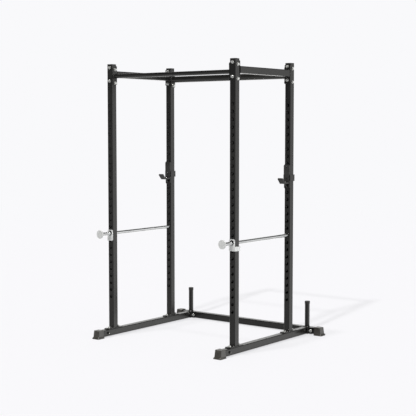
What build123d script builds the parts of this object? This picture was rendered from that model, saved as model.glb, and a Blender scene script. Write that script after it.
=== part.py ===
from build123d import *
import os

os.makedirs("parts", exist_ok=True)

# Power cage. Millimetres, +Z up, the front faces -Y, +X is the right-hand side.
# The origin is on the floor, in the middle of the whole cage's width and depth.

# Square tube shared by the uprights, the base and the side beams
TUBE = 50.8
TUBE_CORNER = 6.0
TUBE_WALL = 2.5
HALF_TUBE = TUBE / 2

# Layout of the four uprights and of the base
UPRIGHT_SPACING_X = 1175.0
UPRIGHT_SPACING_Y = 709.0
FOOT_AHEAD_OF_UPRIGHT = 209.5
CROSS_BEHIND_UPRIGHT = 274.0
BASE_HALF_WIDTH = 739.0
FLOOR_GAP = 8.5
BASE_TOP = FLOOR_GAP + TUBE
BASE_MIDDLE = FLOOR_GAP + HALF_TUBE
TOTAL_HEIGHT = 2118.0
UPRIGHT_CAP_HEAD = 6.0
UPRIGHT_TOP = TOTAL_HEIGHT - UPRIGHT_CAP_HEAD

# Bolted end plates: one size for every joint of the frame
PLATE_LENGTH = 127.0
PLATE_THICKNESS = 6.0
PLATE_CORNER = 4.0
BOLT_SPACING = 101.6
FOOT_PLATE_LENGTH = 158.0
FOOT_BOLT_SPACING = 110.0
UPRIGHT_BOTTOM = BASE_TOP + PLATE_THICKNESS

# Row of attachment holes, bored from front to back through each upright
HOLE_RADIUS = 13.5
HOLE_PITCH = 55.0
HOLE_COUNT = 28
FIRST_HOLE_Z = 313.5

# Hexagon fasteners
M12 = 6.0
M12_HEX = 18.0
M12_HEAD = 7.5
M12_NUT = 10.8
M12_TIP = 3.0
M12_WASHER_RADIUS = 12.0
M12_WASHER = 2.5
M10 = 5.0
M10_HEX = 16.0
M10_HEAD = 6.4
M10_NUT = 8.4
M10_TIP = 2.5
M10_WASHER_RADIUS = 10.0
M10_WASHER = 2.0
BOLT_HOLE_PLAY = 0.5
WASHER_PLAY = 0.25
SNUG_PLAY = 0.05
FOOT_BOLT_LENGTH = 22.0

# Members at the top of the cage
SIDE_BEAM_Z = 2040.0
PULLUP_BAR_Z = 2025.0
FRONT_BAR_RADIUS = 15.875
REAR_BAR_RADIUS = 25.4
BAR_WALL = 2.5

# Rubber boots on the ends of the base tubes
BOOT_LENGTH = 74.0
BOOT_WIDTH = 71.0
BOOT_HEIGHT = 64.0
BOOT_END_WALL = 4.0
BOOT_TOP_SET_BACK = 16.0
BOOT_PLAY = 0.1
CROSS_HALF_LENGTH = BASE_HALF_WIDTH - BOOT_TOP_SET_BACK - BOOT_END_WALL
BOOT_BOLT_BEHIND_TIP = 124.0

# Weight plate pegs
PEG_RADIUS = 19.05
PEG_WALL = 2.5
PEG_TOP = 262.0
PEG_CAP_HEAD = 5.0
PEG_CAP_RADIUS = 20.5
PEG_CAP_LENGTH = 20.0

# Safety rods and their lock clips
ROD_RADIUS = 12.5
ROD_HOLE_INDEX = 9
ROD_AHEAD_OF_UPRIGHT = 148.5
ROD_REAR_SHY = 1.5
DISC_RADIUS = 33.0
DISC_THICKNESS = 5.0
NECK_RADIUS = 16.0
NECK_LENGTH = 16.0
CLIP_THICKNESS = 6.0
CLIP_GAP = 0.5
CLIP_TOP = 28.0
CLIP_BOTTOM = -57.0
CLIP_HALF_WIDTH = 25.0
CLIP_CORNER = 10.0
CLIP_BAND_HEIGHT = 33.0
CLIP_LIP = 15.0
CLIP_HOLE_RADIUS = 16.5
CLIP_SLOT_RISE = 5.5

# J-cups on the rear uprights, facing forwards into the cage
CUP_HOLE_INDEX = 17
CUP_GAP = 0.5
CUP_PLATE_BOTTOM = 1165.0
CUP_PLATE_TOP = 1354.0
CUP_PLATE_THICKNESS = 6.0
CUP_PLATE_CHAMFER = 9.0
CUP_PIN_RADIUS = 12.5
CUP_PIN_TAIL = 5.0
CUP_WING_THICKNESS = 5.0
CUP_WING_HEIGHT = 49.0
CUP_WING_TAIL = 3.0
CUP_ARM_WIDTH = 44.0
CUP_ARM_Z = 1205.0
CUP_ARM_THICKNESS = 6.0
CUP_ARM_REACH = 69.0
CUP_LIP_RUN = 32.0
CUP_LIP_RISE = 37.0
CUP_LINER = 5.0
CUP_LINER_TOP = 1346.0
CUP_GUSSET = 28.0
SCREW_RADIUS = 3.0
SCREW_HEAD_RADIUS = 6.5
SCREW_HEAD = 3.0

# Derived positions
BOLTED_TAIL = M12_WASHER + M12_NUT + M12_TIP
DEPTH = (FOOT_AHEAD_OF_UPRIGHT + UPRIGHT_SPACING_Y + CROSS_BEHIND_UPRIGHT
         + HALF_TUBE + BOLTED_TAIL)
FRONT_TIP_Y = -DEPTH / 2
FRONT_Y = FRONT_TIP_Y + FOOT_AHEAD_OF_UPRIGHT
REAR_Y = FRONT_Y + UPRIGHT_SPACING_Y
CROSS_Y = REAR_Y + CROSS_BEHIND_UPRIGHT
SIDE_X = UPRIGHT_SPACING_X / 2
ROD_Z = FIRST_HOLE_Z + ROD_HOLE_INDEX * HOLE_PITCH
CUP_PIN_Z = FIRST_HOLE_Z + CUP_HOLE_INDEX * HOLE_PITCH
SIDES = (("left", -1), ("right", 1))
ENDS = (("front", FRONT_Y, -1), ("rear", REAR_Y, 1))


def save(part, name):
    """Label a finished piece and write it as its own STEP file."""
    part.label = name
    export_step(part, f"parts/{name}.step")


def facing(origin, direction):
    """Plane whose normal is one of the horizontal axes and whose local Y is up."""
    across = (-direction[1], direction[0], 0)
    return Plane(origin=origin, x_dir=across, z_dir=direction)


def tube_profile(extra=0.0):
    """Rounded square ring of the frame tube, on the active sketch."""
    RectangleRounded(TUBE + extra, TUBE + extra, TUBE_CORNER + extra / 2)
    inner = TUBE - 2 * TUBE_WALL
    RectangleRounded(inner, inner, TUBE_CORNER - TUBE_WALL, mode=Mode.SUBTRACT)


def bolt_pair(radius, spacing=BOLT_SPACING):
    """Two round holes on a bolting plate's spacing, one above the other."""
    with Locations((0, spacing / 2), (0, -spacing / 2)):
        Circle(radius)


def bolting_plate(length=PLATE_LENGTH, spacing=BOLT_SPACING):
    """Outline of a bolting plate, as wide as the tube, with its two bolt holes."""
    RectangleRounded(TUBE, length, PLATE_CORNER)
    with Locations((0, spacing / 2), (0, -spacing / 2)):
        Circle(M12 + BOLT_HOLE_PLAY, mode=Mode.SUBTRACT)


def make_foot_plate(name, x, y):
    """Flat plate welded under an upright and bolted down on the base tube."""
    with BuildPart() as plate:
        with BuildSketch(Plane((x, y, BASE_TOP))):
            bolting_plate(FOOT_PLATE_LENGTH, FOOT_BOLT_SPACING)
        extrude(amount=PLATE_THICKNESS)
    save(plate.part, name)


def make_upright(name, x, y):
    """Square tube with its row of holes and the bolt holes at its top."""
    with BuildPart() as upright:
        with BuildSketch(Plane((x, y, UPRIGHT_BOTTOM))):
            tube_profile()
        extrude(amount=UPRIGHT_TOP - UPRIGHT_BOTTOM)
        back = y + HALF_TUBE + 1
        with BuildSketch(facing((x, back, FIRST_HOLE_Z), (0, -1, 0))):
            with Locations(*[(0, HOLE_PITCH * k) for k in range(HOLE_COUNT)]):
                Circle(HOLE_RADIUS)
        extrude(amount=TUBE + 2, mode=Mode.SUBTRACT)
        with BuildSketch(facing((x, back, SIDE_BEAM_Z), (0, -1, 0))):
            bolt_pair(M12 + BOLT_HOLE_PLAY)
        extrude(amount=TUBE + 2, mode=Mode.SUBTRACT)
        with BuildSketch(facing((x + HALF_TUBE + 1, y, PULLUP_BAR_Z), (-1, 0, 0))):
            bolt_pair(M12 + BOLT_HOLE_PLAY)
        extrude(amount=TUBE + 2, mode=Mode.SUBTRACT)
    save(upright.part, name)


def make_upright_cap(name, x, y):
    """Plastic end plug: a domed head on a hollow skirt that fills the tube."""
    skirt = TUBE - 2 * TUBE_WALL - 0.4
    with BuildPart() as cap:
        with BuildSketch(Plane((x, y, UPRIGHT_TOP))):
            RectangleRounded(TUBE, TUBE, TUBE_CORNER)
        extrude(amount=UPRIGHT_CAP_HEAD)
        fillet(cap.faces().sort_by(Axis.Z)[-1].edges(), radius=2.5)
        with BuildSketch(Plane((x, y, UPRIGHT_TOP))):
            RectangleRounded(skirt, skirt, 3.2)
            RectangleRounded(skirt - 5, skirt - 5, 1.5, mode=Mode.SUBTRACT)
        extrude(amount=-9)
    save(cap.part, name)


def make_base_side(side_name, x):
    """Base tube along Y, and the bolting plate welded across its rear end."""
    start = FRONT_TIP_Y + BOOT_TOP_SET_BACK + BOOT_END_WALL
    plate_back = CROSS_Y - HALF_TUBE
    plate_front = plate_back - PLATE_THICKNESS
    with BuildPart() as base:
        with BuildSketch(facing((x, start, BASE_MIDDLE), (0, 1, 0))):
            tube_profile()
        extrude(amount=plate_front - start)
        for y in (FRONT_Y, REAR_Y):
            with BuildSketch(Plane((x, y, BASE_TOP + 1))):
                bolt_pair(M12 + BOLT_HOLE_PLAY, FOOT_BOLT_SPACING)
            extrude(amount=-TUBE_WALL - 2, mode=Mode.SUBTRACT)
        bolt_y = FRONT_TIP_Y + BOOT_BOLT_BEHIND_TIP
        with BuildSketch(facing((x + HALF_TUBE + 1, bolt_y, BASE_MIDDLE), (-1, 0, 0))):
            Circle(M10 + BOLT_HOLE_PLAY)
        extrude(amount=TUBE + 2, mode=Mode.SUBTRACT)
    save(base.part, f"base_tube_{side_name}")
    with BuildPart() as plate:
        with BuildSketch(facing((x, plate_front, BASE_MIDDLE), (0, 1, 0))):
            RectangleRounded(PLATE_LENGTH, TUBE, PLATE_CORNER)
            with Locations((BOLT_SPACING / 2, 0), (-BOLT_SPACING / 2, 0)):
                Circle(M12 + BOLT_HOLE_PLAY, mode=Mode.SUBTRACT)
        extrude(amount=PLATE_THICKNESS)
    save(plate.part, f"base_end_plate_{side_name}")


def make_rear_cross_member():
    """Base tube across the back of the cage, drilled for the side tubes' bolts."""
    with BuildPart() as cross:
        with BuildSketch(facing((-CROSS_HALF_LENGTH, CROSS_Y, BASE_MIDDLE), (1, 0, 0))):
            tube_profile()
        extrude(amount=2 * CROSS_HALF_LENGTH)
        for _, side in SIDES:
            centre = (side * SIDE_X, CROSS_Y + HALF_TUBE + 1, BASE_MIDDLE)
            with BuildSketch(facing(centre, (0, -1, 0))):
                with Locations((BOLT_SPACING / 2, 0), (-BOLT_SPACING / 2, 0)):
                    Circle(M12 + BOLT_HOLE_PLAY)
            extrude(amount=TUBE + 2, mode=Mode.SUBTRACT)
    save(cross.part, "rear_cross_member")


def make_boot(name, tip, outward):
    """Flared rubber boot, closed over a tube's end. tip is its outermost point on the floor."""
    across = (outward[1], -outward[0], 0)
    sections = (
        (0.0, BOOT_WIDTH, 0.0, BOOT_LENGTH, 9.0),
        (5.0, BOOT_WIDTH, 0.5, BOOT_LENGTH, 9.0),
        (16.0, BOOT_WIDTH - 10, 9.0, BOOT_LENGTH - 2, 8.0),
        (BOOT_HEIGHT, BOOT_WIDTH - 14, BOOT_TOP_SET_BACK, BOOT_LENGTH - 2, 7.0),
    )
    with BuildPart() as boot:
        for height, width, near, far, corner in sections:
            floor_tip = Plane(origin=tip, x_dir=across, z_dir=(0, 0, 1))
            with BuildSketch(floor_tip.offset(height)):
                with Locations((0, -(near + far) / 2)):
                    RectangleRounded(width, far - near, corner)
        loft(ruled=True)
        fillet(boot.faces().sort_by(Axis.Z)[-1].edges(), radius=2.0)
        inset = BOOT_TOP_SET_BACK + BOOT_END_WALL - BOOT_PLAY
        pocket_at = (tip[0] - inset * outward[0], tip[1] - inset * outward[1],
                     BASE_MIDDLE + BOOT_PLAY / 2)
        with BuildSketch(facing(pocket_at, (-outward[0], -outward[1], 0))):
            RectangleRounded(TUBE + 2 * BOOT_PLAY, TUBE + BOOT_PLAY, TUBE_CORNER)
        extrude(amount=BOOT_LENGTH, mode=Mode.SUBTRACT)
    save(boot.part, name)


def make_peg(side_name, x):
    """Round peg for weight plates, standing on the rear cross-member, and the cap over it."""
    tube_top = PEG_TOP - PEG_CAP_HEAD
    with BuildPart() as peg:
        with BuildSketch(Plane((x, CROSS_Y, BASE_TOP))):
            Circle(PEG_RADIUS)
            Circle(PEG_RADIUS - PEG_WALL, mode=Mode.SUBTRACT)
        extrude(amount=tube_top - BASE_TOP)
    save(peg.part, f"weight_peg_{side_name}")
    with BuildPart() as cap:
        with BuildSketch(Plane((x, CROSS_Y, PEG_TOP - PEG_CAP_LENGTH))):
            Circle(PEG_CAP_RADIUS)
        extrude(amount=PEG_CAP_LENGTH)
        fillet(cap.edges().sort_by(Axis.Z)[-1], radius=2.5)
        with BuildSketch(Plane((x, CROSS_Y, PEG_TOP - PEG_CAP_LENGTH))):
            Circle(PEG_RADIUS + SNUG_PLAY)
        extrude(amount=PEG_CAP_LENGTH - PEG_CAP_HEAD, mode=Mode.SUBTRACT)
    save(cap.part, f"weight_peg_cap_{side_name}")


def make_side_beam(side_name, x):
    """Square tube from the front to the rear upright, and the bolting plates on its ends."""
    front_face = FRONT_Y + HALF_TUBE
    rear_face = REAR_Y - HALF_TUBE
    with BuildPart() as beam:
        with BuildSketch(facing((x, front_face + PLATE_THICKNESS, SIDE_BEAM_Z), (0, 1, 0))):
            tube_profile()
        extrude(amount=rear_face - front_face - 2 * PLATE_THICKNESS)
    save(beam.part, f"side_beam_{side_name}")
    with BuildPart() as plates:
        for y in (front_face, rear_face - PLATE_THICKNESS):
            with BuildSketch(facing((x, y, SIDE_BEAM_Z), (0, 1, 0))):
                bolting_plate()
            extrude(amount=PLATE_THICKNESS)
    save(plates.part, f"side_beam_plates_{side_name}")


def make_pullup_bar(end_name, y, radius):
    """Round bar between the left and right uprights, and the bolting plates on its ends."""
    reach = SIDE_X - HALF_TUBE
    with BuildPart() as bar:
        with BuildSketch(facing((PLATE_THICKNESS - reach, y, PULLUP_BAR_Z), (1, 0, 0))):
            Circle(radius)
            Circle(radius - BAR_WALL, mode=Mode.SUBTRACT)
        extrude(amount=2 * (reach - PLATE_THICKNESS))
    save(bar.part, f"pullup_bar_{end_name}")
    with BuildPart() as plates:
        for x in (-reach, reach - PLATE_THICKNESS):
            with BuildSketch(facing((x, y, PULLUP_BAR_Z), (1, 0, 0))):
                bolting_plate()
            extrude(amount=PLATE_THICKNESS)
    save(plates.part, f"pullup_bar_plates_{end_name}")


def make_bolts(name, planes, shank, hexagon, head, washer, length):
    """Hexagon bolts. Each plane lies on the clamped face and points into the joint."""
    with BuildPart() as bolts:
        for plane in planes:
            under_head = plane.offset(-washer)
            with BuildSketch(under_head):
                RegularPolygon(hexagon / 2, 6, major_radius=False)
            extrude(amount=-head * 0.8)
            with BuildSketch(under_head.offset(-head * 0.8)):
                RegularPolygon(hexagon / 2, 6, major_radius=False)
            extrude(amount=-head * 0.2, taper=40)
            with BuildSketch(under_head):
                Circle(shank)
            extrude(amount=length)
    save(bolts.part, name)


def make_washers(name, planes, shank, radius, thickness):
    """Flat washers. Each plane lies on the clamped face and points into the joint."""
    with BuildPart() as washers:
        for plane in planes:
            with BuildSketch(plane):
                Circle(radius)
                Circle(shank + WASHER_PLAY, mode=Mode.SUBTRACT)
            extrude(amount=-thickness)
    save(washers.part, name)


def make_nuts(name, planes, shank, hexagon, height):
    """Hexagon nuts. Each plane lies on the nut's seat and points into the joint."""
    with BuildPart() as nuts:
        for plane in planes:
            with BuildSketch(plane):
                RegularPolygon(hexagon / 2, 6, major_radius=False)
                Circle(shank + SNUG_PLAY, mode=Mode.SUBTRACT)
            extrude(amount=-height)
    save(nuts.part, name)


def top_joints():
    """Head and nut planes of the side beams' bolts, along Y, and the bars' bolts, along X."""
    half = BOLT_SPACING / 2
    heads = []
    tails = []
    for _, side in SIDES:
        for _, y, end in ENDS:
            x = side * SIDE_X
            for z in (SIDE_BEAM_Z - half, SIDE_BEAM_Z + half):
                outer = (x, y + end * HALF_TUBE, z)
                inner = (x, y - end * (HALF_TUBE + PLATE_THICKNESS), z)
                heads.append(facing(outer, (0, -end, 0)))
                tails.append(facing(inner, (0, end, 0)))
            for z in (PULLUP_BAR_Z - half, PULLUP_BAR_Z + half):
                outer = (x + side * HALF_TUBE, y, z)
                inner = (x - side * (HALF_TUBE + PLATE_THICKNESS), y, z)
                heads.append(facing(outer, (-side, 0, 0)))
                tails.append(facing(inner, (side, 0, 0)))
    return heads, tails


def base_joints():
    """Head and nut planes of the bolts from the side tubes' plates into the cross-member."""
    heads = []
    tails = []
    plate_front = CROSS_Y - HALF_TUBE - PLATE_THICKNESS
    for _, side in SIDES:
        for x in (side * SIDE_X - BOLT_SPACING / 2, side * SIDE_X + BOLT_SPACING / 2):
            heads.append(facing((x, plate_front, BASE_MIDDLE), (0, 1, 0)))
            tails.append(facing((x, CROSS_Y + HALF_TUBE, BASE_MIDDLE), (0, -1, 0)))
    return heads, tails


def foot_bolt_planes():
    """Planes on top of the foot plates, one at each bolt, pointing down."""
    planes = []
    for _, side in SIDES:
        for _, y, _ in ENDS:
            for bolt_y in (y - FOOT_BOLT_SPACING / 2, y + FOOT_BOLT_SPACING / 2):
                top = (side * SIDE_X, bolt_y, UPRIGHT_BOTTOM)
                planes.append(Plane(origin=top, x_dir=(1, 0, 0), z_dir=(0, 0, -1)))
    return planes


def make_frame_fasteners():
    """M12 bolts, nuts and washers of the whole frame: every through bolt is the same length."""
    top_heads, top_tails = top_joints()
    base_heads, base_tails = base_joints()
    heads = top_heads + base_heads
    tails = top_tails + base_tails
    feet = foot_bolt_planes()
    length = M12_WASHER + TUBE + PLATE_THICKNESS + BOLTED_TAIL
    make_bolts("frame_bolts", heads, M12, M12_HEX, M12_HEAD, M12_WASHER, length)
    make_bolts("foot_bolts", feet, M12, M12_HEX, M12_HEAD, M12_WASHER, FOOT_BOLT_LENGTH)
    make_washers("frame_washers", heads + tails + feet, M12, M12_WASHER_RADIUS, M12_WASHER)
    seats = [tail.offset(-M12_WASHER) for tail in tails]
    make_nuts("frame_nuts", seats, M12, M12_HEX, M12_NUT)
    inside = [foot.offset(PLATE_THICKNESS + TUBE_WALL + M12_NUT) for foot in feet]
    make_nuts("foot_weld_nuts", inside, M12, M12_HEX, M12_NUT)


def make_boot_bolts():
    """M10 cross bolts through the side tubes, just behind the front boots."""
    y = FRONT_TIP_Y + BOOT_BOLT_BEHIND_TIP
    heads = []
    tails = []
    for _, side in SIDES:
        outer = (side * (SIDE_X + HALF_TUBE), y, BASE_MIDDLE)
        inner = (side * (SIDE_X - HALF_TUBE), y, BASE_MIDDLE)
        heads.append(facing(outer, (-side, 0, 0)))
        tails.append(facing(inner, (side, 0, 0)))
    length = M10_WASHER + TUBE + M10_WASHER + M10_NUT + M10_TIP
    make_bolts("base_tube_bolts", heads, M10, M10_HEX, M10_HEAD, M10_WASHER, length)
    make_washers("base_tube_washers", heads + tails, M10, M10_WASHER_RADIUS, M10_WASHER)
    seats = [tail.offset(-M10_WASHER) for tail in tails]
    make_nuts("base_tube_nuts", seats, M10, M10_HEX, M10_NUT)


def make_safety_rod(side_name, x):
    """Round rod through both uprights of one side, and the disc on its front end."""
    disc_front = FRONT_Y - ROD_AHEAD_OF_UPRIGHT
    disc_back = disc_front + DISC_THICKNESS
    rod_end = REAR_Y + HALF_TUBE - ROD_REAR_SHY
    with BuildPart() as rod:
        with BuildSketch(facing((x, disc_back, ROD_Z), (0, 1, 0))):
            Circle(ROD_RADIUS)
        extrude(amount=rod_end - disc_back)
        chamfer(rod.edges().sort_by(Axis.Y)[-1], length=2.0)
    save(rod.part, f"safety_rod_{side_name}")
    with BuildPart() as disc:
        with BuildSketch(facing((x, disc_front, ROD_Z), (0, 1, 0))):
            Circle(DISC_RADIUS)
        extrude(amount=DISC_THICKNESS)
        chamfer(disc.edges().filter_by(GeomType.CIRCLE), length=1.0)
        with BuildSketch(facing((x, disc_back, ROD_Z), (0, 1, 0))):
            Circle(NECK_RADIUS)
            Circle(ROD_RADIUS + SNUG_PLAY, mode=Mode.SUBTRACT)
        extrude(amount=NECK_LENGTH)
    save(disc.part, f"safety_disc_{side_name}")


def make_lock_clip(side_name, side):
    """Folded clip: a slotted plate on the rod, a band beside the upright and a lip behind it."""
    x = side * SIDE_X
    plate_back = FRONT_Y - HALF_TUBE - CLIP_GAP
    band_inner = HALF_TUBE + CLIP_GAP
    band_outer = band_inner + CLIP_THICKNESS
    lip_front = FRONT_Y + HALF_TUBE + CLIP_GAP
    band_centre = CLIP_BOTTOM + CLIP_BAND_HEIGHT / 2
    front = Plane(origin=(x, plate_back, ROD_Z), x_dir=(1, 0, 0), z_dir=(0, -1, 0))
    with BuildPart() as clip:
        with BuildSketch(front):
            with Locations((0, (CLIP_TOP + CLIP_BOTTOM) / 2)):
                shank = Rectangle(2 * CLIP_HALF_WIDTH, CLIP_TOP - CLIP_BOTTOM)
                fillet(shank.vertices().group_by(Axis.Z)[-1], radius=CLIP_CORNER)
            with Locations((side * band_outer / 2, band_centre)):
                Rectangle(band_outer, CLIP_BAND_HEIGHT)
            Circle(CLIP_HOLE_RADIUS, mode=Mode.SUBTRACT)
            with Locations((0, CLIP_SLOT_RISE)):
                Circle(CLIP_HOLE_RADIUS, mode=Mode.SUBTRACT)
            with Locations((0, CLIP_SLOT_RISE / 2)):
                Rectangle(2 * CLIP_HOLE_RADIUS, CLIP_SLOT_RISE, mode=Mode.SUBTRACT)
        extrude(amount=CLIP_THICKNESS)
        band_x = x + side * (band_inner + CLIP_THICKNESS / 2)
        with BuildSketch(Plane((band_x, FRONT_Y, ROD_Z + CLIP_BOTTOM))):
            Rectangle(CLIP_THICKNESS, 2 * (band_inner + CLIP_THICKNESS))
        extrude(amount=CLIP_BAND_HEIGHT)
        lip_x = x + side * (band_outer - CLIP_LIP / 2 - CLIP_THICKNESS / 2)
        lip_y = lip_front + CLIP_THICKNESS / 2
        with BuildSketch(Plane((lip_x, lip_y, ROD_Z + CLIP_BOTTOM))):
            Rectangle(CLIP_LIP + CLIP_THICKNESS, CLIP_THICKNESS)
        extrude(amount=CLIP_BAND_HEIGHT)
        upright_edges = clip.edges().filter_by(Axis.Z)
        outside = [e for e in upright_edges if abs(abs(e.center().X - x) - band_outer) < 0.01]
        fillet(outside, radius=CLIP_THICKNESS)
    save(clip.part, f"safety_lock_clip_{side_name}")


def cup_outline(depth_start, depth_end):
    """Corners of the cup's arm and lip in side view, between two depths of its thickness.

    Local X points out of the upright's front face and local Y is up. Depth is measured from
    the underside of the steel arm, square to each of the two straight runs.
    """
    slope = (CUP_LIP_RUN ** 2 + CUP_LIP_RISE ** 2) ** 0.5
    out_x = CUP_LIP_RUN / slope
    out_z = CUP_LIP_RISE / slope
    root = CUP_GAP + CUP_PLATE_THICKNESS
    runs = []
    for depth in (depth_start, depth_end):
        bend = CUP_ARM_REACH - depth * (1 - out_x) / out_z
        tip_x = CUP_ARM_REACH + CUP_LIP_RUN - depth * out_z
        tip_z = CUP_ARM_Z + CUP_LIP_RISE + depth * out_x
        run = [(root, CUP_ARM_Z + depth), (bend, CUP_ARM_Z + depth), (tip_x, tip_z)]
        runs.append(run)
    return runs[0] + runs[1][::-1]


def make_cup(side_name, x):
    """J-cup: steel hook, pin through the upright, plastic liner and the liner's screws."""
    face_y = REAR_Y - HALF_TUBE
    plate_back = face_y - CUP_GAP
    plate_front = plate_back - CUP_PLATE_THICKNESS
    plate_middle = (CUP_PLATE_BOTTOM + CUP_PLATE_TOP) / 2
    plate_height = CUP_PLATE_TOP - CUP_PLATE_BOTTOM
    arm_top = CUP_ARM_Z + CUP_ARM_THICKNESS
    seat = arm_top + CUP_LINER
    profile = Plane(origin=(x, face_y, 0), x_dir=(0, -1, 0), z_dir=(-1, 0, 0))
    screw_heights = (seat + 32.0, CUP_LINER_TOP - 16.0)
    screw_planes = [facing((x, plate_front - CUP_LINER, z), (0, 1, 0)) for z in screw_heights]
    screw_planes.append(Plane(origin=(x, plate_front - CUP_LINER - 12.0, seat), z_dir=(0, 0, -1)))

    with BuildPart() as hook:
        with BuildSketch(facing((x, plate_back, plate_middle), (0, -1, 0))):
            plate = Rectangle(TUBE, plate_height)
            chamfer(plate.vertices(), length=CUP_PLATE_CHAMFER)
        extrude(amount=CUP_PLATE_THICKNESS)
        with BuildSketch(profile):
            Polygon(*cup_outline(0.0, CUP_ARM_THICKNESS), align=None)
        extrude(amount=CUP_ARM_WIDTH / 2, both=True)
        with BuildSketch(profile):
            root = CUP_GAP + CUP_PLATE_THICKNESS
            Polygon((root, CUP_ARM_Z), (root, CUP_ARM_Z - CUP_GUSSET),
                    (root + CUP_GUSSET, CUP_ARM_Z), align=None)
        extrude(amount=4.0, both=True)
        wing_length = CUP_PLATE_THICKNESS + CUP_GAP + TUBE + CUP_WING_TAIL
        for flank in (-1, 1):
            wing_x = x + flank * (HALF_TUBE + CUP_GAP + CUP_WING_THICKNESS / 2)
            centre = (wing_x, plate_front + wing_length / 2, CUP_PIN_Z - CUP_WING_HEIGHT / 2)
            with BuildSketch(Plane(centre)):
                Rectangle(CUP_WING_THICKNESS, wing_length)
            extrude(amount=CUP_WING_HEIGHT)
            web_x = x + flank * (HALF_TUBE + CUP_GAP / 2)
            centre = (web_x, plate_front + CUP_PLATE_THICKNESS / 2, CUP_PIN_Z - CUP_WING_HEIGHT / 2)
            with BuildSketch(Plane(centre)):
                Rectangle(CUP_GAP, CUP_PLATE_THICKNESS)
            extrude(amount=CUP_WING_HEIGHT)
        for plane in screw_planes:
            with BuildSketch(plane):
                Circle(SCREW_RADIUS + WASHER_PLAY)
            extrude(amount=CUP_LINER + CUP_PLATE_THICKNESS + 2, mode=Mode.SUBTRACT)
    save(hook.part, f"jcup_hook_{side_name}")

    with BuildPart() as pin:
        with BuildSketch(facing((x, plate_back, CUP_PIN_Z), (0, 1, 0))):
            Circle(CUP_PIN_RADIUS)
        extrude(amount=CUP_GAP + TUBE + CUP_PIN_TAIL)
        chamfer(pin.edges().sort_by(Axis.Y)[-1], length=2.0)
    save(pin.part, f"jcup_pin_{side_name}")

    with BuildPart() as liner:
        strip_height = CUP_LINER_TOP - arm_top
        with BuildSketch(facing((x, plate_front, arm_top + strip_height / 2), (0, -1, 0))):
            strip = Rectangle(TUBE, strip_height)
            chamfer(strip.vertices().group_by(Axis.Z)[-1], length=4.0)
        extrude(amount=CUP_LINER)
        with BuildSketch(profile):
            Polygon(*cup_outline(CUP_ARM_THICKNESS, CUP_ARM_THICKNESS + CUP_LINER), align=None)
        extrude(amount=CUP_ARM_WIDTH / 2, both=True)
        for plane in screw_planes:
            with BuildSketch(plane):
                Circle(SCREW_RADIUS + WASHER_PLAY)
            extrude(amount=CUP_LINER + 1, mode=Mode.SUBTRACT)
    save(liner.part, f"jcup_liner_{side_name}")

    with BuildPart() as screws:
        for plane in screw_planes:
            with BuildSketch(plane):
                Circle(SCREW_HEAD_RADIUS)
            extrude(amount=-SCREW_HEAD, taper=25)
            with BuildSketch(plane):
                Circle(SCREW_RADIUS)
            extrude(amount=CUP_LINER + CUP_PLATE_THICKNESS)
    save(screws.part, f"jcup_liner_screws_{side_name}")


for side_name, side in SIDES:
    side_x = side * SIDE_X
    for end_name, end_y, _ in ENDS:
        make_foot_plate(f"upright_foot_plate_{end_name}_{side_name}", side_x, end_y)
        make_upright(f"upright_{end_name}_{side_name}", side_x, end_y)
        make_upright_cap(f"upright_cap_{end_name}_{side_name}", side_x, end_y)
    make_base_side(side_name, side_x)
    make_boot(f"boot_front_{side_name}", (side_x, FRONT_TIP_Y, 0), (0, -1, 0))
    make_boot(f"boot_rear_{side_name}", (side * BASE_HALF_WIDTH, CROSS_Y, 0), (side, 0, 0))
    make_peg(side_name, side_x)
    make_side_beam(side_name, side_x)
    make_safety_rod(side_name, side_x)
    make_lock_clip(side_name, side)
    make_cup(side_name, side_x)

make_rear_cross_member()
make_pullup_bar("front", FRONT_Y, FRONT_BAR_RADIUS)
make_pullup_bar("rear", REAR_Y, REAR_BAR_RADIUS)
make_frame_fasteners()
make_boot_bolts()
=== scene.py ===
import math

import bmesh
import bpy
import numpy as np
from mathutils import Matrix, Vector


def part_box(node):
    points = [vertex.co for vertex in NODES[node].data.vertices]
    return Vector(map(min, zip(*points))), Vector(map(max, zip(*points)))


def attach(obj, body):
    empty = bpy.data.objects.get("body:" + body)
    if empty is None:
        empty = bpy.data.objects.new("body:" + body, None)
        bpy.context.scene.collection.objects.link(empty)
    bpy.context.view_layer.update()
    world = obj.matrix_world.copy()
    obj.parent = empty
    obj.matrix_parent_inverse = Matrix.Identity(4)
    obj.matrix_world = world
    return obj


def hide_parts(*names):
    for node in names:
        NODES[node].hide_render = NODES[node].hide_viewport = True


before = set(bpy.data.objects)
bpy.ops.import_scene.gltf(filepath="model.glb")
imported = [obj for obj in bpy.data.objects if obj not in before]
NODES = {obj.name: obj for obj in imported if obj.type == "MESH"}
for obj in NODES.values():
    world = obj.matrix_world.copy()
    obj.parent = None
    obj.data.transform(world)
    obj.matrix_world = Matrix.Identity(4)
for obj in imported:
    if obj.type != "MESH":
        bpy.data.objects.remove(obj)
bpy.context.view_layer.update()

# ---------------------------------------------------------------------------------------
# Camera, background, light and floor
# ---------------------------------------------------------------------------------------

CAMERA_AT = (5.0053, -6.4748, 1.6265)
CAMERA_TILT = 85.6731
CAMERA_TURN = 37.4975
CAMERA_LENS = 91.37
CAMERA_SENSOR = 36.0
CAMERA_REACH = 200.0

BACKGROUND = (0.947, 0.947, 0.965)

# Distant lights: the way their rays go, their strength, and their apparent width in degrees
KEY_TRAVEL = (-0.178, 0.97, -1.0)
KEY_ENERGY = 2.1
KEY_SOFTNESS = 2.8
TOP_TRAVEL = (0.07, 0.24, -1.0)
TOP_ENERGY = 1.2
TOP_SOFTNESS = 3.6
SUN_TINT = (1.0, 0.98, 0.95)
SUN_HEIGHT = 5.0

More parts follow.
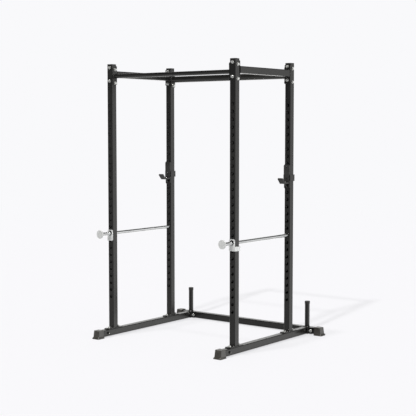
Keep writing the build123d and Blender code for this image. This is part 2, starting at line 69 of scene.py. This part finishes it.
# Studio room that only reflections and soft light see: two bright windows in dim walls.
# A window has the way to its middle and the cosines off it between which it brightens.
# The walls, the ceiling and the ground change between two heights, from -1 below to 1 above.
SIDE_WINDOW = (0.94, 0.34, 0.0)
SIDE_EDGE = (0.60, 0.95)
SIDE_GLOW = 1.10
BACK_WINDOW = (-0.62, 0.78, 0.06)
BACK_EDGE = (0.45, 0.85)
BACK_GLOW = 0.95
WALL_FADE = (-0.20, 0.08)
WALL_LOW_GLOW = 0.36
WALL_HIGH_GLOW = 0.23
UPPER_WALL_FADE = (0.25, 0.60)
UPPER_WALL_SHARE = 0.20
CEILING_FADE = (0.80, 0.97)
CEILING_GLOW = 0.5
GROUND_FADE = (-0.30, -0.06)
GROUND_GLOW = 0.30
ROOM_TINT = (1.0, 0.998, 0.985, 1.0)

# White paper floor, partly lit from below, that fades into the background far away
FLOOR_REACH = 60.0
FLOOR_EDGES = 96
FLOOR_GLOW = 0.690
FLOOR_REFLECTANCE = 0.26
FLOOR_BLUE = 1.06
FLOOR_FADE = (5.0, 14.0)


def link(obj):
    bpy.context.scene.collection.objects.link(obj)
    return obj


def make_camera():
    data = bpy.data.cameras.new("camera")
    data.lens = CAMERA_LENS
    data.sensor_width = CAMERA_SENSOR
    data.clip_end = CAMERA_REACH
    camera = link(bpy.data.objects.new("camera", data))
    camera.location = CAMERA_AT
    camera.rotation_euler = (math.radians(CAMERA_TILT), 0.0, math.radians(CAMERA_TURN))
    bpy.context.scene.camera = camera


class Graph:
    """Short way to add nodes to a node tree and join them.

    A value given as a node's socket is linked, and any other is set on the input itself.
    """

    def __init__(self, tree):
        self.tree = tree
        tree.nodes.clear()

    def add(self, kind, settings=None, **inputs):
        node = self.tree.nodes.new(kind)
        for key, value in (settings or {}).items():
            setattr(node, key, value)
        for key, value in inputs.items():
            self.put(node, key, value)
        return node

    def put(self, node, socket, value):
        target = node.inputs[socket]
        if isinstance(value, bpy.types.NodeSocket):
            self.tree.links.new(value, target)
        else:
            target.default_value = value

    def math(self, operation, a, b):
        node = self.tree.nodes.new("ShaderNodeMath")
        node.operation = operation
        self.put(node, 0, a)
        self.put(node, 1, b)
        return node.outputs[0]

    def dot(self, a, b):
        node = self.tree.nodes.new("ShaderNodeVectorMath")
        node.operation = "DOT_PRODUCT"
        self.put(node, 0, a)
        self.put(node, 1, b)
        return node.outputs["Value"]

    def ramp(self, value, low, high, to_low=0.0, to_high=1.0):
        """Smooth step from to_low at low to to_high at high."""
        node = self.tree.nodes.new("ShaderNodeMapRange")
        node.interpolation_type = "SMOOTHSTEP"
        self.put(node, "Value", value)
        self.put(node, "From Min", low)
        self.put(node, "From Max", high)
        self.put(node, "To Min", to_low)
        self.put(node, "To Max", to_high)
        return node.outputs["Result"]

    def mix(self, factor, a, b):
        node = self.tree.nodes.new("ShaderNodeMix")
        node.data_type = "RGBA"
        self.put(node, 0, factor)
        self.put(node, 6, a)
        self.put(node, 7, b)
        return node.outputs[2]

    def noise(self, vector, scale, detail, roughness):
        node = self.tree.nodes.new("ShaderNodeTexNoise")
        self.put(node, "Vector", vector)
        self.put(node, "Scale", scale)
        self.put(node, "Detail", detail)
        self.put(node, "Roughness", roughness)
        return node.outputs["Fac"]


def make_world():
    world = bpy.data.worlds.new("studio")
    bpy.context.scene.world = world
    world.use_nodes = True
    g = Graph(world.node_tree)
    direction = g.add("ShaderNodeTexCoord").outputs["Generated"]
    rise = g.dot(direction, (0.0, 0.0, 1.0))
    side = g.ramp(g.dot(direction, SIDE_WINDOW), *SIDE_EDGE, 0.0, SIDE_GLOW)
    back = g.ramp(g.dot(direction, BACK_WINDOW), *BACK_EDGE, 0.0, BACK_GLOW)
    dim = g.ramp(rise, *WALL_FADE, WALL_LOW_GLOW, WALL_HIGH_GLOW)
    walls = g.math("ADD", g.math("ADD", side, back), dim)
    upper = g.ramp(rise, *UPPER_WALL_FADE, 1.0, UPPER_WALL_SHARE)
    walls = g.math("MULTIPLY", walls, upper)
    ceiling = g.ramp(rise, *CEILING_FADE, 0.0, CEILING_GLOW)
    ground = g.ramp(rise, *GROUND_FADE, GROUND_GLOW, 0.0)
    strength = g.math("ADD", g.math("ADD", walls, ceiling), ground)
    room = g.add("ShaderNodeBackground", Color=ROOM_TINT, Strength=strength)
    paper = g.add("ShaderNodeBackground", Color=(*BACKGROUND, 1.0), Strength=1.0)
    seen = g.add("ShaderNodeLightPath").outputs["Is Camera Ray"]
    both = g.add("ShaderNodeMixShader")
    g.put(both, 0, seen)
    g.put(both, 1, room.outputs[0])
    g.put(both, 2, paper.outputs[0])
    out = g.add("ShaderNodeOutputWorld")
    g.put(out, "Surface", both.outputs[0])


def make_sun(name, travel, energy, softness):
    """Distant light: travel is the way its rays go, softness its apparent width in degrees."""
    data = bpy.data.lights.new(name, "SUN")
    data.energy = energy
    data.angle = math.radians(softness)
    data.color = SUN_TINT
    sun = link(bpy.data.objects.new(name, data))
    sun.rotation_euler = Vector(travel).to_track_quat("-Z", "Y").to_euler()
    sun.location = (0.0, 0.0, SUN_HEIGHT)


def make_floor():
    mesh = bpy.data.meshes.new("floor")
    bm = bmesh.new()
    bmesh.ops.create_circle(bm, cap_ends=True, segments=FLOOR_EDGES, radius=FLOOR_REACH)
    bm.to_mesh(mesh)
    bm.free()
    floor = link(bpy.data.objects.new("floor", mesh))
    material = bpy.data.materials.new("floor_paper")
    material.use_nodes = True
    g = Graph(material.node_tree)
    place = g.add("ShaderNodeNewGeometry").outputs["Position"]
    away = g.add("ShaderNodeVectorMath", {"operation": "LENGTH"})
    g.put(away, 0, place)
    fade = g.ramp(away.outputs["Value"], *FLOOR_FADE)
    near_glow = g.add("ShaderNodeEmission", Color=(*BACKGROUND, 1.0), Strength=FLOOR_GLOW)
    tone = (FLOOR_REFLECTANCE, FLOOR_REFLECTANCE, FLOOR_REFLECTANCE * FLOOR_BLUE, 1.0)
    matt = g.add("ShaderNodeBsdfDiffuse", Color=tone)
    near = g.add("ShaderNodeAddShader")
    g.put(near, 0, near_glow.outputs[0])
    g.put(near, 1, matt.outputs[0])
    distant = g.add("ShaderNodeEmission", Color=(*BACKGROUND, 1.0), Strength=1.0)
    both = g.add("ShaderNodeMixShader")
    g.put(both, 0, fade)
    g.put(both, 1, near.outputs[0])
    g.put(both, 2, distant.outputs[0])
    out = g.add("ShaderNodeOutputMaterial")
    g.put(out, "Surface", both.outputs[0])
    mesh.materials.append(material)
    floor.visible_glossy = False


# ---------------------------------------------------------------------------------------
# Materials
# ---------------------------------------------------------------------------------------

BEVEL_SAMPLES = 6
EXPOSURE_SAMPLES = 4

# Bands of a noise's value over which a look changes
WIDE = (0.3, 0.7)
CLOUDS = (0.35, 0.68)
MOTTLE = (0.35, 0.65)
SMUDGES = (0.35, 0.7)
# The last band breaks up the edge marks, which are wear and a painted edge highlight
WEAR_AND_SHEEN_PATCHES = (0.42, 0.62)

# Paint inside a tube is dull, which keeps the holes dark: how far round a point walls are
# looked for, the open share between which the gloss comes back, and the gloss at both ends
TUBE_INSIDE = 0.06
OPEN_SHARE = (0.25, 0.60)
INSIDE_GLOSS = 0.04
OUTSIDE_GLOSS = 0.55

RUBBED_METAL = (0.88, 0.87, 0.85)
SMUDGE_SHARE = 0.90


def surface(name):
    """A new material, its graph, its Principled shader and the object's own coordinates."""
    material = bpy.data.materials.new(name)
    material.use_nodes = True
    g = Graph(material.node_tree)
    shader = g.add("ShaderNodeBsdfPrincipled")
    out = g.add("ShaderNodeOutputMaterial")
    g.put(out, "Surface", shader.outputs[0])
    place = g.add("ShaderNodeTexCoord").outputs["Object"]
    return material, g, shader, place


def edge_mask(g, place, radius, low, high, patch_scale):
    """One on edges and nought elsewhere, broken up by patches of noise, for wear and a painted
    edge highlight.
    """
    rounded = g.add("ShaderNodeBevel", {"samples": BEVEL_SAMPLES}, Radius=radius)
    flat = g.add("ShaderNodeNewGeometry")
    bend = g.dot(rounded.outputs["Normal"], flat.outputs["Normal"])
    bend = g.math("SUBTRACT", 1.0, bend)
    edge = g.ramp(bend, low, high)
    blotches = g.noise(place, scale=patch_scale, detail=4.0, roughness=0.65)
    return g.math("MULTIPLY", edge, g.ramp(blotches, *WEAR_AND_SHEEN_PATCHES))


def bump(g, shader, height, strength, distance, rounded=0.0):
    """Fine relief on the shader's normal, over softened edges where rounded is given."""
    node = g.add("ShaderNodeBump", Height=height, Strength=strength, Distance=distance)
    if rounded:
        soft = g.add("ShaderNodeBevel", {"samples": BEVEL_SAMPLES}, Radius=rounded)
        g.put(node, "Normal", soft.outputs["Normal"])
    g.put(shader, "Normal", node.outputs["Normal"])


def opaque(colour):
    """The colour with full alpha, as a shader's socket wants it."""
    return (*colour, 1.0)


def powder_coat():
    """Satin black powder coat: orange peel, rubbed edges that also carry a painted highlight,
    little gloss inside the tubes.
    """
    material, g, shader, place = surface("black_powder_coat")
    cloud = g.noise(place, scale=5.0, detail=4.0, roughness=0.6)
    grain = g.noise(place, scale=900.0, detail=2.0, roughness=0.5)
    peel = g.noise(place, scale=260.0, detail=2.0, roughness=0.5)
    edge_wear_and_sheen = edge_mask(g, place, radius=0.0016, low=0.02, high=0.22, patch_scale=38.0)
    deep = opaque((0.0052, 0.0051, 0.0049))
    dusty = opaque((0.0086, 0.0084, 0.0078))
    # The lighter edge colour is wear and also a painted highlight along the edges
    rubbed_and_sheen = opaque((0.026, 0.0255, 0.0240))
    paint = g.mix(g.ramp(cloud, *CLOUDS), deep, dusty)
    g.put(shader, "Base Color", g.mix(edge_wear_and_sheen, paint, rubbed_and_sheen))
    rough = g.ramp(cloud, *WIDE, 0.22, 0.31)
    rough = g.math("ADD", rough, g.ramp(grain, *WIDE, -0.04, 0.04))
    rough = g.math("ADD", rough, g.math("MULTIPLY", edge_wear_and_sheen, 0.10))
    g.put(shader, "Roughness", rough)
    space = g.add("ShaderNodeAmbientOcclusion", {"samples": EXPOSURE_SAMPLES},
                  Distance=TUBE_INSIDE)
    gloss = g.ramp(space.outputs["AO"], *OPEN_SHARE, INSIDE_GLOSS, OUTSIDE_GLOSS)
    g.put(shader, "Specular IOR Level", gloss)
    height = g.math("ADD", g.math("MULTIPLY", peel, 0.7), g.math("MULTIPLY", grain, 0.3))
    bump(g, shader, height, strength=0.12, distance=0.0004)
    return material


def plated(name, bright, dull, rough, metallic):
    """Plated or blackened steel: mottled, finely grained and rubbed bright along its edges."""
    material, g, shader, place = surface(name)
    mottle = g.noise(place, scale=90.0, detail=4.0, roughness=0.6)
    fine = g.noise(place, scale=1500.0, detail=2.0, roughness=0.5)
    edge_wear_and_sheen = edge_mask(g, place, radius=0.0008, low=0.02, high=0.25, patch_scale=160.0)
    metal = g.mix(g.ramp(mottle, *MOTTLE), opaque(bright), opaque(dull))
    g.put(shader, "Base Color", g.mix(edge_wear_and_sheen, metal, opaque(RUBBED_METAL)))
    shader.inputs["Metallic"].default_value = metallic
    haze = g.math("ADD", g.ramp(mottle, *WIDE, *rough), g.ramp(fine, *WIDE, -0.05, 0.05))
    g.put(shader, "Roughness", haze)
    bump(g, shader, fine, strength=0.12, distance=0.0002, rounded=0.0004)
    return material


def chrome(name, along, base, rough):
    """Chromed or polished steel with hairline marks running along one direction."""
    material, g, shader, place = surface(name)
    stretch = g.add("ShaderNodeMapping", Vector=place, Scale=along)
    lines = g.noise(stretch.outputs[0], scale=900.0, detail=3.0, roughness=0.6)
    smudge = g.noise(place, scale=14.0, detail=5.0, roughness=0.6)
    dimmed = [SMUDGE_SHARE * c for c in base]
    tone = g.mix(g.ramp(smudge, *SMUDGES), opaque(base), opaque(dimmed))
    g.put(shader, "Base Color", tone)
    shader.inputs["Metallic"].default_value = 1.0
    haze = g.math("ADD", g.ramp(smudge, *SMUDGES, *rough), g.ramp(lines, *WIDE, -0.03, 0.05))
    g.put(shader, "Roughness", haze)
    bump(g, shader, lines, strength=0.10, distance=0.0001, rounded=0.0005)
    return material


def moulded(name, dark, light, edge_tone, rough, grain_scale, strength, gloss, rounded):
    """Moulded plastic or rubber with a fine grained skin and scuffed edges, whose edge tone is
    also a painted highlight.
    """
    material, g, shader, place = surface(name)
    cloud = g.noise(place, scale=22.0, detail=5.0, roughness=0.6)
    grain = g.noise(place, scale=grain_scale, detail=3.0, roughness=0.6)
    edge_wear_and_sheen = edge_mask(g, place, radius=0.0030, low=0.012, high=0.16, patch_scale=70.0)
    colour = g.mix(g.ramp(cloud, *CLOUDS), opaque(dark), opaque(light))
    # Edge tone: scuffs, and a painted highlight along the edges
    g.put(shader, "Base Color", g.mix(edge_wear_and_sheen, colour, opaque(edge_tone)))
    haze = g.math("ADD", g.ramp(cloud, *WIDE, *rough), g.ramp(grain, *WIDE, -0.05, 0.05))
    g.put(shader, "Roughness", haze)
    shader.inputs["Specular IOR Level"].default_value = gloss
    bump(g, shader, grain, strength=strength, distance=0.0006, rounded=rounded)
    return material


def weld_metal():
    """Painted weld bead: the same black coat, a little duller over its ripples."""
    material, g, shader, place = surface("painted_weld")
    cloud = g.noise(place, scale=60.0, detail=4.0, roughness=0.6)
    grain = g.noise(place, scale=1200.0, detail=2.0, roughness=0.5)
    deep = opaque((0.010, 0.010, 0.010))
    dusty = opaque((0.018, 0.0175, 0.0165))
    g.put(shader, "Base Color", g.mix(g.ramp(cloud, *SMUDGES), deep, dusty))
    g.put(shader, "Roughness", g.ramp(cloud, *WIDE, 0.30, 0.42))
    bump(g, shader, grain, strength=0.2, distance=0.0003)
    return material


def dress(node, material):
    """Gives a CAD node its one material."""
    mesh = NODES[node].data
    mesh.materials.clear()
    mesh.materials.append(material)


# ---------------------------------------------------------------------------------------
# Geometry helpers
# ---------------------------------------------------------------------------------------

SAME_PLACE = 1e-5
SHARP_ANGLE = 35.0


def solids(node):
    """The vertices of each separate solid in a CAD node, one array per solid.

    Vertices in the same place count as one, and edges join them into solids.
    """
    mesh = NODES[node].data
    spots = {}
    owner = []
    parent = []

    def root(i):
        while parent[i] != i:
            parent[i] = parent[parent[i]]
            i = parent[i]
        return i

    for vertex in mesh.vertices:
        key = tuple(round(c / SAME_PLACE) for c in vertex.co)
        if key not in spots:
            spots[key] = len(parent)
            parent.append(len(parent))
        owner.append(spots[key])
    for edge in mesh.edges:
        a = root(owner[edge.vertices[0]])
        b = root(owner[edge.vertices[1]])
        parent[a] = b
    groups = {}
    for vertex in mesh.vertices:
        groups.setdefault(root(owner[vertex.index]), []).append(tuple(vertex.co))
    return [np.array(points) for points in groups.values()]


def piece(name, bm, body, material, replaced=()):
    """Turns a bmesh into a piece that rides on a body."""
    bmesh.ops.recalc_face_normals(bm, faces=bm.faces)
    mesh = bpy.data.meshes.new(name)
    bm.to_mesh(mesh)
    bm.free()
    for polygon in mesh.polygons:
        polygon.use_smooth = True
    mesh.set_sharp_from_angle(angle=math.radians(SHARP_ANGLE))
    obj = link(bpy.data.objects.new(name, mesh))
    mesh.materials.append(material)
    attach(obj, body)
    if replaced:
        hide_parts(*replaced)


def ring(bm, points):
    """New vertices at the points, as one closed loop."""
    return [bm.verts.new(p) for p in points]


def bridge(bm, first, second):
    """Faces between two loops with the same number of vertices."""
    count = len(first)
    for i in range(count):
        j = (i + 1) % count
        bm.faces.new((first[i], first[j], second[j], second[i]))


def cap(bm, loop, centre):
    """Fan of triangles that closes a loop onto one point."""
    hub = bm.verts.new(centre)
    count = len(loop)
    for i in range(count):
        bm.faces.new((loop[i], loop[(i + 1) % count], hub))


# ---------------------------------------------------------------------------------------
# Fasteners
# ---------------------------------------------------------------------------------------

# Points in a ring, then a hexagon's turned crown: its slope, and its face against the flats
ROUND = 48
CROWN_SLOPE = math.tan(math.radians(30.0))
CROWN_SHARE = 0.96

# Bolt head's shallow dish: its radius against the flats, and its depth
DISH_SHARE = 0.80
DISH_DEPTH = 0.0006

# Thread: turns from the tip, rings in a turn, depth against the pitch, how sharp its crests
# are, the run-out at the tip, the shank's least plain share, and the tip against the shank
THREAD_TURNS = 16
THREAD_STEPS = 5
THREAD_DEPTH = 0.55
THREAD_SHARPNESS = 1.3
THREAD_RUNOUT = 0.0015
PLAIN_SHARE = 0.25
TIP_SHARE = 0.80

# Reading a CAD bolt: how near its ends is looked at, and how much wider a head is
END_ZONE = 0.004
HEAD_SHARE = 1.2

# Nut's countersink against its bore
SINK_SHARE = 0.12

M12_PITCH = 0.00175
M10_PITCH = 0.0015


def frame_of(axis, corner):
    """Rotation whose local Z is axis and whose local X points at a hexagon corner."""
    z = Vector(axis).normalized()
    x = Vector(corner)
    x = (x - z * x.dot(z)).normalized()
    y = z.cross(x)
    return Matrix((x, y, z)).transposed()


def turned(rotation, origin, radii, heights):
    """Ring of points round a local axis from per-point radii and heights."""
    points = []
    for i in range(ROUND):
        angle = 2 * math.pi * i / ROUND
        local = Vector((radii[i] * math.cos(angle), radii[i] * math.sin(angle), heights[i]))
        points.append(origin + rotation @ local)
    return points


def hexagon_rings(bm, rotation, origin, flat, low, high, crown_low):
    """Hexagon block with a turned crown on its top and, if asked, on its underside."""
    angles = [2 * math.pi * i / ROUND for i in range(ROUND)]
    sides = [flat / math.cos((a + math.pi / 6) % (math.pi / 3) - math.pi / 6) for a in angles]
    crown = flat * CROWN_SHARE
    drop = [max(0.0, r - crown) * CROWN_SLOPE for r in sides]
    rows = []
    if crown_low:
        rows.append(ring(bm, turned(rotation, origin, [crown] * ROUND, [low] * ROUND)))
        rows.append(ring(bm, turned(rotation, origin, sides, [low + d for d in drop])))
    else:
        rows.append(ring(bm, turned(rotation, origin, sides, [low] * ROUND)))
    rows.append(ring(bm, turned(rotation, origin, sides, [high - d for d in drop])))
    rows.append(ring(bm, turned(rotation, origin, [crown] * ROUND, [high] * ROUND)))
    for first, second in zip(rows, rows[1:]):
        bridge(bm, first, second)
    return rows[0], rows[-1]


def read_hexagon(points, pick):
    """A CAD bolt or nut from its vertices. pick chooses its axis from its three sizes.

    Gives the box, the axis number, each vertex's distance off the axis, half the width
    over the flats and the way to a corner.
    """
    low = points.min(axis=0)
    high = points.max(axis=0)
    way = int(pick(high - low))
    middle = (low + high) / 2
    off = np.delete(points - middle, way, axis=1)
    spread = np.hypot(off[:, 0], off[:, 1])
    flat = spread.max() * math.cos(math.pi / 6)
    corner = Vector(points[int(np.argmax(spread))] - middle)
    return low, high, way, spread, flat, corner


def add_bolt(bm, points, thread_pitch):
    """Hexagon bolt in a CAD bolt's place: crowned head, plain shank and threaded tip."""
    low, high, way, spread, flat, corner = read_hexagon(points, np.argmax)
    at_low = spread[points[:, way] < low[way] + END_ZONE].max()
    at_high = spread[points[:, way] > high[way] - END_ZONE].max()
    head_low = at_low > at_high
    shank = min(at_low, at_high)
    axis = Vector((0, 0, 0))
    axis[way] = 1.0 if head_low else -1.0
    start = Vector((low + high) / 2)
    start[way] = low[way] if head_low else high[way]
    along = (points[:, way] - start[way]) * axis[way]
    head = along[spread > shank * HEAD_SHARE].max()
    rotation = frame_of(-axis, corner)
    seat = start + axis * head
    bottom, top = hexagon_rings(bm, rotation, seat, flat, 0.0, head, False)
    dish_at = head - DISH_DEPTH
    dish = ring(bm, turned(rotation, seat, [flat * DISH_SHARE] * ROUND, [dish_at] * ROUND))
    bridge(bm, top, dish)
    cap(bm, dish, seat + rotation @ Vector((0, 0, dish_at)))
    shank_rows = [ring(bm, turned(rotation, seat, [shank] * ROUND, [0.0] * ROUND))]
    bridge(bm, bottom, shank_rows[0])
    body = high[way] - low[way] - head
    thread_from = max(body - THREAD_TURNS * thread_pitch, body * PLAIN_SHARE)
    shank_rows.append(ring(bm, turned(rotation, seat, [shank] * ROUND, [-thread_from] * ROUND)))
    depth = thread_pitch * THREAD_DEPTH
    step = thread_pitch / THREAD_STEPS
    steps = int((body - thread_from - THREAD_RUNOUT) / step)
    for k in range(1, steps + 1):
        height = thread_from + k * step
        radii = []
        for i in range(ROUND):
            phase = (height / thread_pitch - i / ROUND) % 1.0
            radii.append(shank - depth * abs(2 * phase - 1) ** THREAD_SHARPNESS)
        shank_rows.append(ring(bm, turned(rotation, seat, radii, [-height] * ROUND)))
    tip = [shank * TIP_SHARE] * ROUND
    shank_rows.append(ring(bm, turned(rotation, seat, tip, [-body] * ROUND)))
    for first, second in zip(shank_rows, shank_rows[1:]):
        bridge(bm, first, second)
    cap(bm, shank_rows[-1], seat - rotation @ Vector((0, 0, body)))


def add_nut(bm, points):
    """Hexagon nut in a CAD nut's place, crowned on both faces, with a countersunk bore."""
    low, high, way, spread, flat, corner = read_hexagon(points, np.argmin)
    bore = spread.min()
    axis = Vector((0, 0, 0))
    axis[way] = 1.0
    rotation = frame_of(axis, corner)
    origin = Vector((low + high) / 2)
    half = (high[way] - low[way]) / 2
    bottom, top = hexagon_rings(bm, rotation, origin, flat, -half, half, True)
    sink = bore * SINK_SHARE
    rows = [top]
    for radius, height in ((bore + sink, half), (bore, half - sink),
                           (bore, sink - half), (bore + sink, -half)):
        rows.append(ring(bm, turned(rotation, origin, [radius] * ROUND, [height] * ROUND)))
    rows.append(bottom)
    for first, second in zip(rows, rows[1:]):
        bridge(bm, first, second)


def make_fasteners(bright, black):
    """Detailed bolts and nuts in place of the CAD ones. Nuts have no pitch in the table."""
    groups = (
        ("frame_bolts", M12_PITCH, bright, "zinc"),
        ("foot_bolts", M12_PITCH, bright, "zinc"),
        ("base_tube_bolts", M10_PITCH, black, "black_screws"),
        ("frame_nuts", None, bright, "zinc"),
        ("base_tube_nuts", None, black, "black_screws"),
    )
    for node, pitch, material, slot in groups:
        bm = bmesh.new()
        for points in solids(node):
            if pitch:
                add_bolt(bm, points, pitch)
            else:
                add_nut(bm, points)
        piece(f"{node}_detailed", bm, "frame", material, (node,))


# ---------------------------------------------------------------------------------------
# Weld beads
# ---------------------------------------------------------------------------------------

WELD_SEED = 7
WELD_LEG = 0.0040
WELD_PITCH = 0.0034
WELD_STEP = 0.0009
WELD_OVERLAP = 0.0006
WELD_POINTS = 6

# A bead's leg between ripples, what a ripple adds, how round the ripples are, and chance
WELD_VALLEY = 0.84
WELD_RIPPLE = 0.17
WELD_ROUNDNESS = 0.7
WELD_UNEVENNESS = 0.05

# A bead's throat against its legs, and what the legs add
WELD_THROAT = 0.80
WELD_TOE = 0.20

TUBE_CORNER = 0.006
FEWEST_STRAIGHT = 2
FEWEST_ROUND = 6


def square_path(centre, u, v, half):
    """Points and outward normals round a square tube in the plane of u and v."""
    points = []
    normals = []
    straight = 2 * (half - TUBE_CORNER)
    for quarter in range(4):
        angle = quarter * math.pi / 2
        out = u * math.cos(angle) + v * math.sin(angle)
        along = -u * math.sin(angle) + v * math.cos(angle)
        count = max(FEWEST_STRAIGHT, int(straight / WELD_STEP))
        for k in range(count):
            points.append(centre + out * half + along * (straight * (k / count - 0.5)))
            normals.append(out)
        hub = centre + out * (half - TUBE_CORNER) + along * (half - TUBE_CORNER)
        count = max(FEWEST_ROUND, int(TUBE_CORNER * math.pi / 2 / WELD_STEP))
        for k in range(count):
            turn = math.pi / 2 * k / count
            normal = out * math.cos(turn) + along * math.sin(turn)
            points.append(hub + normal * TUBE_CORNER)
            normals.append(normal)
    return points, normals


def round_path(centre, u, v, radius):
    """Points and outward normals round a round tube in the plane of u and v."""
    count = int(2 * math.pi * radius / WELD_STEP)
    normals = [u * math.cos(2 * math.pi * k / count) + v * math.sin(2 * math.pi * k / count)
               for k in range(count)]
    return [centre + n * radius for n in normals], normals


def add_bead(bm, points, normals, away, random):
    """Fillet weld along a closed path: away points off the plate, normals off the tube."""
    rows = []
    travelled = 0.0
    for i, (point, normal) in enumerate(zip(points, normals)):
        travelled += (point - points[i - 1]).length if i else 0.0
        ripple = abs(math.sin(math.pi * travelled / WELD_PITCH)) ** WELD_ROUNDNESS
        leg = WELD_LEG * (WELD_VALLEY + WELD_RIPPLE * ripple)
        leg *= 1.0 + WELD_UNEVENNESS * random.standard_normal()
        row = [point - normal * WELD_OVERLAP - away * WELD_OVERLAP]
        for k in range(WELD_POINTS):
            turn = math.pi / 2 * k / (WELD_POINTS - 1)
            bulge = WELD_THROAT + WELD_TOE * math.cos(2 * turn) ** 2
            row.append(point + normal * (leg * bulge * math.cos(turn))
                       + away * (leg * bulge * math.sin(turn)))
        rows.append(ring(bm, row))
    for i in range(len(rows)):
        bridge(bm, rows[i], rows[(i + 1) % len(rows)])


def make_weld(name, seams, material, random):
    """One piece from its seams, each a closed path with normals and the way off its plate."""
    bm = bmesh.new()
    for (points, normals), away in seams:
        add_bead(bm, points, normals, away, random)
    piece(name, bm, "frame", material)


def make_welds(material):
    """Beads where the uprights, beams, base tubes, pegs and bars meet their plates."""
    random = np.random.default_rng(WELD_SEED)
    x = Vector((1, 0, 0))
    y = Vector((0, 1, 0))
    z = Vector((0, 0, 1))
    for side in ("left", "right"):
        for end in ("front", "rear"):
            low, high = (Vector(c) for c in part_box(f"upright_{end}_{side}"))
            middle = (low + high) / 2
            foot = Vector((middle.x, middle.y, low.z))
            seams = [(square_path(foot, x, y, (high.x - low.x) / 2), z)]
            make_weld(f"weld_upright_foot_{end}_{side}", seams, material, random)

        low, high = (Vector(c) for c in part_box(f"side_beam_{side}"))
        middle = (low + high) / 2
        half = (high.x - low.x) / 2
        seams = [(square_path(Vector((middle.x, at, middle.z)), x, z, half), away)
                 for at, away in ((low.y, y), (high.y, -y))]
        make_weld(f"weld_side_beam_{side}", seams, material, random)

        low, high = (Vector(c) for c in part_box(f"base_tube_{side}"))
        middle = (low + high) / 2
        rear = Vector((middle.x, high.y, middle.z))
        seams = [(square_path(rear, x, z, (high.x - low.x) / 2), -y)]
        make_weld(f"weld_base_tube_{side}", seams, material, random)

        low, high = (Vector(c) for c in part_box(f"weight_peg_{side}"))
        middle = (low + high) / 2
        root = Vector((middle.x, middle.y, low.z))
        seams = [(round_path(root, x, y, (high.x - low.x) / 2), z)]
        make_weld(f"weld_weight_peg_{side}", seams, material, random)

    for end in ("front", "rear"):
        low, high = (Vector(c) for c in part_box(f"pullup_bar_{end}"))
        middle = (low + high) / 2
        radius = (high.z - low.z) / 2
        seams = [(round_path(Vector((at, middle.y, middle.z)), y, z, radius), away)
                 for at, away in ((low.x, x), (high.x, -x))]
        make_weld(f"weld_pullup_bar_{end}", seams, material, random)


# ---------------------------------------------------------------------------------------
# Build
# ---------------------------------------------------------------------------------------

make_camera()
make_world()
make_sun("key_light", KEY_TRAVEL, KEY_ENERGY, KEY_SOFTNESS)
make_sun("top_light", TOP_TRAVEL, TOP_ENERGY, TOP_SOFTNESS)
make_floor()

coat = powder_coat()
weld = weld_metal()
plate_zinc = plated("plate_zinc", bright=(0.82, 0.835, 0.83), dull=(0.70, 0.715, 0.715),
                    rough=(0.40, 0.56), metallic=0.62)
bolt_zinc = plated("bolt_zinc", bright=(0.84, 0.85, 0.83), dull=(0.70, 0.71, 0.70),
                   rough=(0.22, 0.36), metallic=0.90)
black_steel = plated("black_oxide", bright=(0.105, 0.105, 0.102), dull=(0.060, 0.060, 0.058),
                     rough=(0.18, 0.30), metallic=0.95)
rod_chrome = chrome("rod_chrome", along=(1.0, 0.03, 1.0), base=(0.62, 0.63, 0.64),
                    rough=(0.16, 0.28))
pin_steel = chrome("pin_steel", along=(1.0, 0.05, 1.0), base=(0.62, 0.62, 0.62),
                   rough=(0.25, 0.38))
plastic = moulded("black_plastic", dark=(0.010, 0.010, 0.010), light=(0.017, 0.0165, 0.016),
                  edge_tone=(0.045, 0.044, 0.042), rough=(0.42, 0.55), grain_scale=700.0,
                  strength=0.25, gloss=0.5, rounded=0.0012)
liner = moulded("liner_plastic", dark=(0.016, 0.016, 0.016), light=(0.026, 0.0255, 0.025),
                edge_tone=(0.060, 0.059, 0.057), rough=(0.38, 0.50), grain_scale=420.0,
                strength=0.20, gloss=0.5, rounded=0.0012)
# The boots' bright edge tone is a painted highlight along their edges, over the scuffs
rubber = moulded("boot_rubber", dark=(0.021, 0.0192, 0.0162), light=(0.037, 0.0338, 0.0290),
                 edge_tone=(0.160, 0.155, 0.145), rough=(0.28, 0.40), grain_scale=520.0,
                 strength=0.35, gloss=1.0, rounded=0.0028)

# The first row whose prefix fits a node's name dresses it, so the last row paints the rest
FINISHES = (
    (("upright_cap", "weight_peg_cap"), plastic),
    (("boot",), rubber),
    (("safety_rod",), rod_chrome),
    (("safety_disc", "safety_lock_clip"), plate_zinc),
    (("jcup_pin",), pin_steel),
    (("jcup_liner_screws", "base_tube_bolts"), black_steel),
    (("base_tube_washers", "base_tube_nuts"), black_steel),
    (("jcup_liner",), liner),
    (("frame_", "foot_bolts", "foot_weld"), bolt_zinc),
    (("",), coat),
)
for name in NODES:
    finish = next(material for prefixes, material in FINISHES if name.startswith(prefixes))
    dress(name, finish)

make_fasteners(bolt_zinc, black_steel)
make_welds(weld)

bpy.context.scene.view_settings.view_transform = "Standard"
